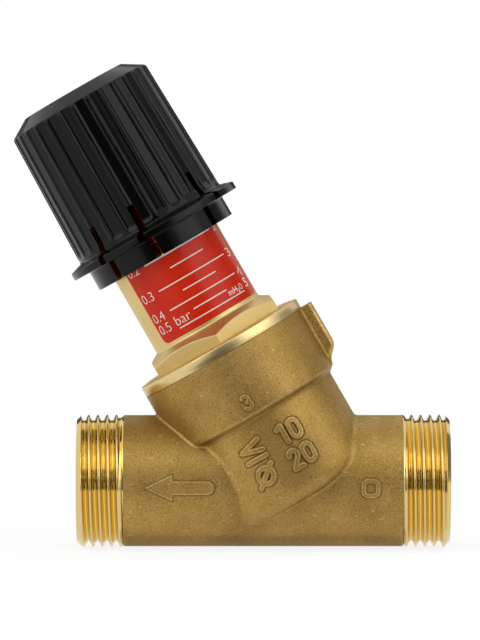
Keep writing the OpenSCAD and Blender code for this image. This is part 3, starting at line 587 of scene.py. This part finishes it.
def casting():
    """The casting's skin with its raised marks, finer near their outlines, and cut flat at the two shoulders
    and at the head's top. A flat ring runs inwards from each cut, to the bore or under the thread."""
    points, triangles = skin_mesh(casting_distance, SKIN_LOW, SKIN_HIGH, SKIN_CELL)
    for reach in (1.0, 0.6, 0.35):
        marks = raised_marks(points[triangles].mean(axis=1))
        near = np.min([np.abs(distance) for distance, _, _ in marks], axis=0) < reach
        points, triangles = refined(points, triangles, near)
    points = onto_skin(casting_distance, points)
    points = points + relief(points)[:, None] * unit(gradient(casting_distance, points))
    points, triangles = cut_flat(points, triangles)
    normals = unit(gradient(casting_distance, points))
    tilt = gradient(relief, points)
    normals = normals - (tilt - (tilt * normals).sum(1)[:, None] * normals)

    edges = open_edges(triangles)
    rim = np.unique(edges)
    inner = points[rim]
    side, depth, height = bonnet_coordinates(inner)
    top = np.abs(height - HEAD_TOP) < 0.01
    to_bore = HEAD_BORE_R / np.hypot(side, depth)
    to_thread = SHOULDER_INNER_R / np.hypot(inner[:, 1], inner[:, 2])
    inner[~top, 1:] *= to_thread[~top, None]
    inner[top] = on_bonnet(side * to_bore, depth * to_bore, height)[top]
    flat_normals = np.where(top[:, None], AXIS, np.sign(inner[:, :1] + RUN_LENGTH / 2) * [1.0, 0.0, 0.0])
    outer_at = len(points) + np.searchsorted(rim, edges)
    rings = np.column_stack([outer_at[:, ::-1], outer_at + len(rim)])
    wear_and_painted_light = np.concatenate([skin_wear_and_painted_light(points), np.zeros(2 * len(rim))])
    normals = np.concatenate([normals, flat_normals, flat_normals])
    points = np.concatenate([points, points[rim], inner])
    add_mesh("body_casting", points, triangles.tolist() + rings.tolist(), cast_brass, "valve",
             ["valve_body"], normals=normals, wear_and_painted_light=wear_and_painted_light)


PASSAGE_R, CHAMBER_R = 11.7, 18.2


def body_bores():
    """The inside of the body, from the CAD node's own triangles: passages, seat, chamber and bonnet bore."""
    points, triangles = mesh_arrays(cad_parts["valve_body"].data)
    points = points / MM
    corners = points[triangles]
    middle = corners.mean(axis=1)
    x = middle[:, 0]
    side, depth, height = bonnet_coordinates(middle)
    farthest = np.hypot(corners[..., 1], corners[..., 2]).max(axis=1)
    across = np.cross(corners[:, 1] - corners[:, 0], corners[:, 2] - corners[:, 0])
    step_face = (np.abs(across[:, 0]) > 1e-6) & (x < -1) & (x > 1 - RUN_LENGTH)
    passage = (farthest < PASSAGE_R) | ((farthest < PORT_R + 0.1) & step_face)
    chamber = (np.hypot(side, depth) < CHAMBER_R) & (height > 0.9) & (height < HEAD_TOP - 0.1)
    used, faces = np.unique(triangles[passage | chamber], return_inverse=True)
    add_mesh("body_bores", points[used], faces.reshape(-1, 3), bore_brass, "valve",
             ["valve_body"], sharp=30)


def thread_drop(phase):
    """How far a pipe thread lies below its crest: round crest, straight 55 degree flanks, round root."""
    crest_half, flank, soft = 0.19, 0.77, 0.012
    from_crest = np.abs(phase - np.round(phase)) * THREAD_PITCH
    x = (from_crest - crest_half) / flank
    return THREAD_DEPTH * 0.5 * (1 + np.sqrt(x * x + soft) - np.sqrt((1 - x) ** 2 + soft))


def threaded_end(name, face, inward, crest_at_top):
    """A pipe thread as radius over angle and distance from its face: right-hand helix, chamfered start,
    end face and port bore. The crests, the start and the end face are worn paler than the rest, whose deeper
    gold is painted light that bounces between the flanks."""
    columns, rows = 288, 190
    chamfer_r, root_r, past = 15.35, 14.0, THREAD_LENGTH + 0.3
    plain_start, fade_in, fade_out = 0.7, 0.9, 1.6
    angle = np.arange(columns) * TURN / columns
    distance = np.linspace(0.0, THREAD_LENGTH, rows)
    phase = (inward * (distance - crest_at_top) / THREAD_PITCH)[:, None] - (angle - np.pi / 2) / TURN
    fade = np.clip((distance - plain_start) / fade_in, 0, 1)
    fade = fade * fade * (3 - 2 * fade) * np.clip((THREAD_LENGTH - distance) / fade_out, 0.4, 1)
    drop = thread_drop(phase)
    radius = np.minimum(THREAD_R - drop * fade[:, None], chamfer_r + distance[:, None])
    first = [(PORT_R, past), (PORT_R, 0.15), (PORT_R + 0.15, 0.0), (chamfer_r - 0.1, 0.0)]
    last = [(root_r, THREAD_LENGTH + 0.01), (root_r, past)]
    radius, along = lathe_rows(first, radius, distance, last)
    x = np.broadcast_to((face + inward * along)[:, None], radius.shape)
    points = np.stack([x, radius * np.cos(angle), radius * np.sin(angle)], axis=-1)
    quads = grid_quads(len(along), columns, wrap_rows=True)
    if inward > 0:
        quads = quads[:, ::-1]
    worn = np.maximum(np.clip((1.3 - drop) / 0.4, 0, 1), np.where(distance < 3, 1 - fade, 0.0)[:, None])
    wear_and_painted_light = np.vstack([np.ones((len(first), columns)), worn, np.zeros((len(last), columns))])
    add_mesh(name, points, quads, thread_brass, "valve", ["valve_body"],
             uv=turned_uv(angle, along), sharp=40, wear_and_painted_light=wear_and_painted_light)


# Bonnet

BARREL_R = 14.6
HEXAGON_R, HEXAGON_TURN = 17.0, math.radians(2.2)
HEXAGON_LOW, HEXAGON_HIGH, CONE_TOP = 40.17, 45.1, 45.2
CHAMFER = math.radians(30)


def bonnet():
    """Turned bonnet: a closed profile round its axis, with the hexagon as the least of its six flats and
    the chamfer cone. The collar's rim is worn paler, and the milled flats are duller."""
    per_half_flat, hexagon_rows = 36, 48
    soft_corner, soft_cone = 0.0002, 0.02
    spread = np.arange(-per_half_flat, per_half_flat) / per_half_flat
    spread = (0.25 * spread + 0.75 * spread ** 3) * np.pi / 6
    angle = (HEXAGON_TURN + np.arange(6)[:, None] * np.pi / 3 + spread).ravel()
    left, right = np.cos(np.tile(spread, 6) + np.pi / 6), np.cos(np.tile(spread, 6) - np.pi / 6)
    flats = HEXAGON_R / (0.5 * (left + right + np.sqrt((left - right) ** 2 + soft_corner)))
    heights = np.linspace(HEXAGON_LOW, HEXAGON_HIGH, hexagon_rows)
    cone = (BARREL_R + (CONE_TOP - heights) / math.tan(CHAMFER))[:, None]
    hexagon = 0.5 * (flats + cone - np.sqrt((flats - cone) ** 2 + soft_cone))
    lower = [(11.8, 27.0), (4.3, 26.5), (4.3, 14.0), (8.5, 13.0), (8.5, 22.0), (15.5, 22.1), (17.9, 24.6),
             (17.95, 34.9), (15.6, 35.0), (15.6, 37.12), (22.1, 37.13), (22.25, 37.2), (22.3, 37.32),
             (22.3, 39.5), (22.24, 39.65), (22.08, 39.74), (19.7, 40.14)]
    upper = [(BARREL_R + 0.03, 45.3), (BARREL_R, 45.5), (BARREL_R, 60.0), (BARREL_R, 80.4), (14.45, 80.58),
             (12.65, 80.58), (12.62, 76.6), (11.8, 76.55)]
    radius, height = lathe_rows(lower, hexagon, heights, upper)
    wear_and_painted_light = np.zeros(radius.shape)
    wear_and_painted_light[(radius > 22.2) & (height[:, None] > 37.2)] = 0.6
    wear_and_painted_light[len(lower):len(lower) + hexagon_rows] = np.where(flats < cone, -1.0, 0.15)
    quads = grid_quads(len(height), len(angle), wrap_rows=True)
    add_mesh("bonnet_turned", turned(angle, radius, height[:, None]), quads, turned_brass, "valve",
             ["bonnet"], uv=turned_uv(angle, height), wear_and_painted_light=wear_and_painted_light, sharp=35)


# Scale label

LABEL_MIDDLE, LABEL_HALF = math.radians(13.5), math.radians(64.0)
LABEL_LOW, LABEL_HIGH = 46.2, 79.7
FILM_R, PRINT_R = BARREL_R + 0.15, BARREL_R + 0.17
# Height of each printed line, by its pressure in bar
SCALE = {0.05: 76.6, 0.1: 73.3, 0.15: 69.7, 0.2: 65.95, 0.25: 62.26,
         0.3: 58.57, 0.35: 55.9, 0.4: 53.1, 0.45: 50.6, 0.5: 48.1}
# Ends of the printed lines and places of the two rows of numerals, in degrees round the barrel
LONG_LINE, SHORT_LINE = (-24.5, 56.6), (-2.9, 35.4)
BAR_AT, WATER_AT = -39.9, 66.0
THIN, THICK = 0.28, 0.75
NUMERAL_HIGH = 2.35
# How much a letter's outline grows, as a share of its size
LIGHT, PLAIN, BOLD = -0.012, 0.0, 0.008


def label_film():
    """Film on the barrel: a grid of angle and height whose corners are rounded, with turned-down edges."""
    corner, rows, columns = 1.6, 60, 160
    angle = np.linspace(-LABEL_HALF, LABEL_HALF, columns)
    edge = np.clip(corner - (LABEL_HALF - np.abs(angle)) * BARREL_R, 0, corner)
    cut = corner - np.sqrt(np.maximum(corner ** 2 - edge ** 2, 0))
    low, high = LABEL_LOW + cut, LABEL_HIGH - cut
    height = low + (high - low) * np.linspace(0, 1, rows)[:, None]
    face, back = (turned(LABEL_MIDDLE + angle, radius, height).reshape(-1, 3)
                  for radius in (FILM_R, BARREL_R + 0.01))
    grid = np.arange(rows * columns).reshape(rows, columns)
    loop = np.concatenate([grid[0, :-1], grid[:-1, -1], grid[-1, :0:-1], grid[:0:-1, 0]])
    ahead = np.roll(loop, -1)
    sides = np.column_stack([ahead, loop, loop + rows * columns, ahead + rows * columns])
    front = grid_quads(rows, columns, wrap_columns=False)
    faces = np.concatenate([front, front[:, ::-1] + rows * columns, sides])
    add_mesh("scale_film", np.concatenate([face, back]), faces, red_film, "valve",
             ["scale_label"], sharp=40)


def text_outline(words, weight):
    """Flat points and triangles of words, one unit wide and one high, with their middle at the origin."""
    curve = bpy.data.curves.new("words", "FONT")
    curve.body = words
    curve.offset = weight
    holder = new_object("words", curve)
    bpy.context.view_layer.update()
    points, triangles = mesh_arrays(holder.evaluated_get(bpy.context.evaluated_depsgraph_get()).to_mesh())
    bpy.data.objects.remove(holder)
    bpy.data.curves.remove(curve)
    flat = points[:, :2]
    low, high = flat.min(axis=0), flat.max(axis=0)
    return (flat - (low + high) / 2) / (high - low), triangles


def scale_print():
    """Printed lines, numerals and units: flat outlines bent round the barrel just above the film."""
    points, faces = [], []

    def put(flat, triangles):
        faces.append(triangles + sum(len(p) for p in points))
        points.append(flat)

    def bar(left, right, height, thick):
        count = 40
        steps = np.radians(np.linspace(left, right, count)) * BARREL_R
        edges = [height - thick / 2, height + thick / 2]
        flat = np.column_stack([np.tile(steps, 2), np.repeat(edges, count)])
        quads = grid_quads(2, count, wrap_columns=False)
        put(flat, np.concatenate([quads[:, [0, 1, 2]], quads[:, [0, 2, 3]]]))

    def words(text, at_angle, height, wide, high, weight=LIGHT):
        flat, triangles = text_outline(text, weight)
        put(flat * [wide, high] + [math.radians(at_angle) * BARREL_R, height], triangles)

    for mark, height in SCALE.items():
        whole = round(mark * 20) % 2 == 0
        bar(*(LONG_LINE if whole else SHORT_LINE), height, THICK if mark == 0.2 else THIN)
        if whole:
            lift = 1.7 if mark == 0.5 else -0.1
            words(f"{mark:.1f}", BAR_AT, height + lift, 3.75, NUMERAL_HIGH)
            wide = {0.1: 0.7, 0.4: 2.2}.get(mark, 1.75)
            words(f"{mark * 10:.0f}", WATER_AT, height + lift, wide, NUMERAL_HIGH, PLAIN)
    lowest = SCALE[0.5]
    words("bar", -16.9, lowest + 1.95, 4.3, 2.4)
    words("mH", 41.6, lowest + 1.45, 3.0, 1.55, BOLD)
    words("2", 49.5, lowest + 0.85, 0.8, 0.95, BOLD)
    words("O", 54.3, lowest + 1.45, 1.25, 1.55, BOLD)
    flat = np.concatenate(points)
    bent = turned(flat[:, 0] / BARREL_R, PRINT_R, flat[:, 1])
    add_mesh("scale_print", bent, np.concatenate(faces), white_ink, "valve")


# Spring

def spring():
    """Spring as a round wire along a helix with close end coils and an open middle, sized from the CAD
    node. The lower piece reaches 6 mm up from its foot, and the upper one the rest of the way."""
    wire, turns, end_pitch, split = 0.6, 8, 1.7, 6.0
    per_turn, sides = 48, 16
    cad_points, _ = mesh_arrays(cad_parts["spring"].data)
    side, depth, height = bonnet_coordinates(cad_points / MM)
    low, high = height.min(), height.max()
    coil_r = np.hypot(side, depth).max() - wire
    turn = np.linspace(0, turns, turns * per_turn + 1)
    stations = [low + wire, low + wire + end_pitch, high - wire - end_pitch, high - wire]
    centre = np.interp(turn, [0, 1, turns - 1, turns], stations)
    round_wire = np.arange(sides) * TURN / sides
    out = coil_r + wire * np.cos(round_wire)
    points = on_bonnet(out * np.cos(TURN * turn)[:, None], out * np.sin(TURN * turn)[:, None],
                       centre[:, None] + wire * np.sin(round_wire))
    cut = np.searchsorted(centre, low + split)
    pieces = (("spring_lower", points[:cut + 1], ("disc", "valve"), (low, low + split)),
              ("spring_upper", points[cut:], ("valve", "spring_plate"), (low + split, high)))
    for name, rings, bodies, reach in pieces:
        grid = np.arange(len(rings) * sides).reshape(-1, sides)
        faces = grid_quads(len(rings), sides)[:, ::-1].tolist() + [grid[0].tolist(), grid[-1, ::-1].tolist()]
        piece = add_mesh(name, rings, faces, spring_steel, None, ["spring"], sharp=60)
        start, end = (on_bonnet(0.0, 0.0, z) * MM for z in reach)
        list(bodies)
        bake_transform(piece)


# Handwheel

FINGER_TURN = math.radians(-22.8)
FINGER_COLUMNS, SLOT_COLUMNS, WIDE_COLUMNS = 72, 8, 116
SLOT_NEAR, SLOT_FAR, SLOT_TOP = 5.2, 7.0, 80.6
SKIRT_FOOT, SKIRT_INNER_R, SKIRT_R = 65.98, 16.0, 19.06
FLANGE_FOOT, FLANGE_R = 71.16, 23.28
GRIP_FOOT, GRIP_R, GRIP_TAPER = 75.0, 19.95, 0.0266
FLUTES, FLUTE_TURN, FLUTE_DEPTH = 30, math.radians(4.8), 0.42
FLUTE_FOOT, FLUTE_RUN_OUT = 74.9, 1.7
CROWN_TOP, CAP_SEAT = 112.3, 110.9


def rounded_profile(corners, steps=4):
    """Profile points through corners given as radius, height and rounding."""
    points = []
    count = len(corners)
    for i, (r, h, rounding) in enumerate(corners):
        here = np.array([r, h])
        if rounding == 0 or i in (0, count - 1):
            points.append(here)
            continue
        back = np.array(corners[i - 1][:2]) - here
        ahead = np.array(corners[i + 1][:2]) - here
        back, ahead = back / np.linalg.norm(back), ahead / np.linalg.norm(ahead)
        half = math.acos(np.clip(back @ ahead, -1, 1)) / 2
        reach = rounding / math.tan(half)
        middle = (back + ahead) / np.linalg.norm(back + ahead)
        centre = here + middle * rounding / math.sin(half)
        first, last = here + back * reach - centre, here + ahead * reach - centre
        share = np.linspace(0, 1, steps)[:, None]
        points.extend(centre + unit(first * (1 - share) + last * share) * rounding)
    return np.array(points)


def grip_radius(height):
    """Radius of the grip's ridges, which taper towards the top."""
    return GRIP_R - (height - GRIP_FOOT) * GRIP_TAPER


def handwheel():
    """Handwheel as a profile carried round the axis: flutes press the grip in, and the slots' columns keep
    a steady distance from each finger's middle plane, so that the slots have parallel sides."""
    inner = rounded_profile([
        (5.4, 107.0, 0), (5.4, 101.5, 0), (8.0, 101.5, 0.3), (8.0, 109.0, 0.6), (13.6, 109.0, 1.0),
        (SKIRT_INNER_R, 106.4, 1.5), (SKIRT_INNER_R, SLOT_TOP, 0)])
    lip = np.array([
        (SKIRT_INNER_R, GRIP_FOOT), (SKIRT_INNER_R, 69.55), (15.0, 69.45), (15.0, 66.4), (15.5, 66.1),
        (SKIRT_INNER_R, 66.02)])
    outer_low = rounded_profile([
        (16.1, SKIRT_FOOT, 0), (SKIRT_R, SKIRT_FOOT, 0.25), (SKIRT_R, FLANGE_FOOT, 0.5),
        (FLANGE_R, FLANGE_FOOT, 0.25), (FLANGE_R, 73.0, 0.3), (20.05, 74.05, 0.4), (19.97, 74.8, 0)])
    low_rows = np.concatenate([np.arange(GRIP_FOOT, 76.9, 0.15), [78.2, 79.5, SLOT_TOP]])
    high_rows = np.array([83.0, 88.0, 94.0, 100.0, 105.0, 106.9])
    grip_low, grip_high = (np.column_stack([grip_radius(rows), rows]) for rows in (low_rows, high_rows))
    crown = rounded_profile([
        (19.08, 107.4, 0), (19.04, 109.15, 1.1), (13.85, CROWN_TOP, 0.35), (9.65, CROWN_TOP, 0.15),
        (9.65, CAP_SEAT, 0), (5.0, CAP_SEAT, 0), (5.0, 108.2, 0)], 12)
    parts = [inner, lip, outer_low, grip_low, grip_high, crown]
    profile = np.concatenate(parts)
    part_at = np.cumsum([0] + [len(part) for part in parts])
    first_cut, last_cut = part_at[1] - 1, part_at[4] - 1
    lip_rows = np.arange(part_at[1] + 2, part_at[1] + 5)
    grip_rows = np.arange(len(profile)) > part_at[3] - 2
    radius, height = profile[:, :1], profile[:, 1:]

    # Columns: each quarter turn holds a finger, a slot, a wide part and a slot. Their limits are distances
    # from the finger's middle plane, or from that of the next finger, a quarter turn on.
    limits = [(0, -SLOT_NEAR), (0, SLOT_NEAR), (0, SLOT_FAR), (1, -SLOT_FAR), (1, -SLOT_NEAR)]
    counts = [FINGER_COLUMNS, SLOT_COLUMNS, WIDE_COLUMNS, SLOT_COLUMNS]
    limits = [quarter * np.pi / 2 + np.arcsin(away / np.maximum(radius, 12.0)) for quarter, away in limits]
    quarter_turn = np.hstack([start + (end - start) * np.arange(count) / count
                              for start, end, count in zip(limits, limits[1:], counts)])
    angle = np.hstack([FINGER_TURN + quarter * np.pi / 2 + quarter_turn for quarter in range(4)])
    columns = angle.shape[1]
    in_slot = np.tile(np.repeat([False, True, False, True], counts), 4)
    in_finger = np.tile(np.arange(sum(counts)) <= FINGER_COLUMNS, 4)
    r = np.repeat(radius, columns, axis=1)
    r[np.ix_(lip_rows, np.flatnonzero(~in_finger))] = SKIRT_INNER_R
    off_ridge = np.mod((angle + FLUTE_TURN) * FLUTES / TURN, 1.0) - 0.5
    run_out = np.clip(1 - (height - FLUTE_FOOT) / FLUTE_RUN_OUT, 0, 1)
    hollow = np.clip(1 - (2.4 * off_ridge) ** 6 - run_out ** 2, 0, 1)
    r = np.where(grip_rows[:, None], np.minimum(r, grip_radius(height) - FLUTE_DEPTH * hollow), r)

    # Faces: the grid without the slots, then each slot's two sides and its closed top
    quads = grid_quads(len(profile), columns)
    row, column = quads[:, 0] // columns, quads[:, 0] % columns
    open_slot = in_slot[column] & (row >= first_cut) & (row < last_cut)
    faces = quads[~open_slot].tolist()
    grid = np.arange(len(profile) * columns).reshape(-1, columns)
    for first in np.flatnonzero(in_slot & ~np.roll(in_slot, 1)):
        cut = grid[first_cut:last_cut + 1, (first + np.arange(SLOT_COLUMNS + 1)) % columns]
        faces += [cut[:, 0].tolist(), cut[::-1, -1].tolist(), cut[-1].tolist() + cut[0, ::-1].tolist()]
    add_mesh("handwheel_grip", turned(angle, r, height), faces, black_plastic, "handwheel",
             ["handwheel"], sharp=38)


def cap():
    """Snap-in cap: a profile carried round the axis, with a rounded rim and a shallow dish."""
    columns, rim, dish = 144, CROWN_TOP - 0.05, CROWN_TOP - 0.3
    profile = rounded_profile([
        (0.02, CAP_SEAT, 0), (9.3, CAP_SEAT, 0.2), (9.5, CAP_SEAT + 0.3, 0), (9.5, rim, 0.3), (8.2, rim, 0.4),
        (7.6, dish, 0.4), (0.02, dish, 0)], 5)
    angle = np.arange(columns) * TURN / columns
    grid = np.arange(len(profile) * columns).reshape(-1, columns)
    faces = grid_quads(len(profile), columns).tolist() + [grid[0, ::-1].tolist(), grid[-1].tolist()]
    add_mesh("cap_disc", turned(angle, profile[:, :1], profile[:, 1:]), faces, black_plastic, "handwheel",
             ["handwheel_cap"], sharp=38)


casting()
body_bores()
threaded_end("thread_inlet", 0.0, -1.0, 2.58)
threaded_end("thread_outlet", -RUN_LENGTH, 1.0, 2.9)
bonnet()
label_film()
scale_print()
spring()
handwheel()
cap()

# CAD pieces that keep their own shape
for material, names in {
    turned_brass: ["gland_ring", "threaded_head", "valve_disc", "setting_screw"],
    steel: ["stem", "seal_washer", "disc_nut", "lower_spring_plate", "upper_spring_plate", "handwheel_washer",
            "handwheel_screw"],
    spring_steel: ["stem_clip"],
    rubber: ["bonnet_o_ring", "stem_o_ring", "disc_seal"],
    acetal: ["guide_bush", "thrust_washer"],
}.items():
    for name in names:
        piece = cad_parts[name]
        piece.data.materials.clear()
        piece.data.materials.append(material)


# Stage, light and camera, in metres

def stage_plane(name, corners, material):
    """A flat sheet of the set."""
    mesh = bpy.data.meshes.new(name)
    mesh.from_pydata(corners, [], [list(range(len(corners)))])
    mesh.materials.append(material)
    sheet = new_object(name, mesh)
    return sheet


def backdrop_share(tree, low, high):
    """A value: high where the camera, a mirror or glass looks at the backdrop, and low for soft light."""
    path = node(tree, "LightPath")
    seen = node(tree, "Math", {0: path.outputs["Is Camera Ray"], 1: path.outputs["Is Transmission Ray"]},
                operation="ADD")
    seen = node(tree, "Math", {0: seen, 1: path.outputs["Is Glossy Ray"]}, operation="ADD", use_clamp=True)
    return node(tree, "MapRange", {"Value": seen, "To Min": low, "To Max": high})


def pale_paper(tree):
    """Pale paper: white to the camera and in metal. The soft shadow shows near the object and is gone by
    0.3 m from its middle."""
    place = node(tree, "TexCoord").outputs["Object"]
    away = node(tree, "VectorMath", {0: place, 1: MIDDLE}, operation="DISTANCE").outputs["Value"]
    share = node(tree, "MapRange",
                 {"Value": away, "From Min": 0.1, "From Max": 0.3, "To Min": 0.85, "To Max": 1.0})
    share = node(tree, "Math", {0: share, 1: backdrop_share(tree, 0.0, 1.0)}, operation="MULTIPLY")
    paper = node(tree, "BsdfDiffuse", {"Color": linear("#ffffff")})
    white = node(tree, "Emission", {"Color": linear("#ffffff"), "Strength": 1.0})
    return node(tree, "MixShader", {0: share, 1: paper, 2: white})


def card(name, corners, grey):
    """A grey card, as stands in front of an object on a set, which only shows in what mirrors it."""
    sheet = stage_plane(name, corners, shader_material(name, lambda tree: node(
        tree, "Emission", {"Color": linear(grey), "Strength": 1.0})))
    sheet.visible_camera = sheet.visible_diffuse = sheet.visible_shadow = sheet.visible_transmission = False


FLOOR_Z, SHEET = -0.0168, 3.0
MIDDLE = (-0.0523, 0.0, 0.0402)
stage_plane("floor", [(-SHEET, -SHEET, FLOOR_Z), (SHEET, -SHEET, FLOOR_Z), (SHEET, SHEET, FLOOR_Z),
                      (-SHEET, SHEET, FLOOR_Z)], shader_material("pale_paper", pale_paper))
# Cards that lie on the paper, and cards that stand in front of the object, behind it and at its side
LOW, UNDER = FLOOR_Z + 0.001, FLOOR_Z + 0.0001
DARK, MIDDLING, PAINTED_SHADOW_GREY = "#5c5750", "#8a857e", "#c6c0b6"
card("card_table", [(-0.5, -1.5, LOW), (-0.105, -0.07, LOW), (0.02, -0.07, LOW), (0.55, -1.5, LOW)], DARK)
# Painted shadow: a greyer patch of paper under the run, seen only in reflections, which darkens the run's
# lower edge
card("painted_shadow_card", [(-0.081, -0.0095, UNDER), (-0.012, -0.0095, UNDER), (-0.012, 0.0095, UNDER),
                    (-0.081, 0.0095, UNDER)], PAINTED_SHADOW_GREY)
UPRIGHT = (("card_front", -1.5, -0.95, 0.85, LOW, 0.7), ("card_over", 1.5, -0.85, 0.75, 0.34, 0.84),
           ("card_left", 1.5, -0.85, -0.35, LOW, 0.34), ("card_right", 1.5, 0.25, 0.75, LOW, 0.34))
for name, y, left, right, low, high in UPRIGHT:
    card(name, [(left, y, low), (right, y, low), (right, y, high), (left, y, high)], DARK)
card("card_side", [(0.9, 0.0, LOW), (0.9, 0.8, LOW), (0.9, 0.8, 0.8), (0.9, 0.0, 0.8)], MIDDLING)

world = bpy.data.worlds.new("studio")
bpy.context.scene.world = world
world.use_nodes = True
sky = world.node_tree
sky.nodes.clear()
node(sky, "OutputWorld", {"Surface": node(
    sky, "Background", {"Color": linear("#ffffff"), "Strength": backdrop_share(sky, 0.5, 1.0)})})

# Square soft boxes turned to the object, of which the top one gives no mirror image
LAMPS = (("soft_box_left", (-0.9, -0.7, 0.6), 1.05, 4.9), ("soft_box_right", (0.75, -0.8, 0.6), 1.0, 3.7),
         ("soft_box_top", (-0.05, 0.0, 1.1), 1.0, 5.2))
for name, place, size, power in LAMPS:
    data = bpy.data.lights.new(name, "AREA")
    data.size, data.energy = size, power
    lamp = new_object(name, data)
    lamp.location = place
    lamp.rotation_euler = (Vector(MIDDLE) - Vector(place)).to_track_quat("-Z", "Y").to_euler()
    lamp.visible_glossy = name != "soft_box_top"

AWAY, RISE = 1.4, math.radians(1.8)
lens = bpy.data.cameras.new("camera")
lens.sensor_width = 36.0
lens.lens = 315.0
lens.clip_start, lens.clip_end = 0.05, 20.0
camera = new_object("camera", lens)
camera.location = Vector(MIDDLE) + AWAY * Vector((0.0, -math.cos(RISE), math.sin(RISE)))
camera.rotation_euler = (math.pi / 2 - RISE, 0.0, 0.0)
bpy.context.scene.camera = camera
bpy.context.scene.view_settings.view_transform = "Standard"
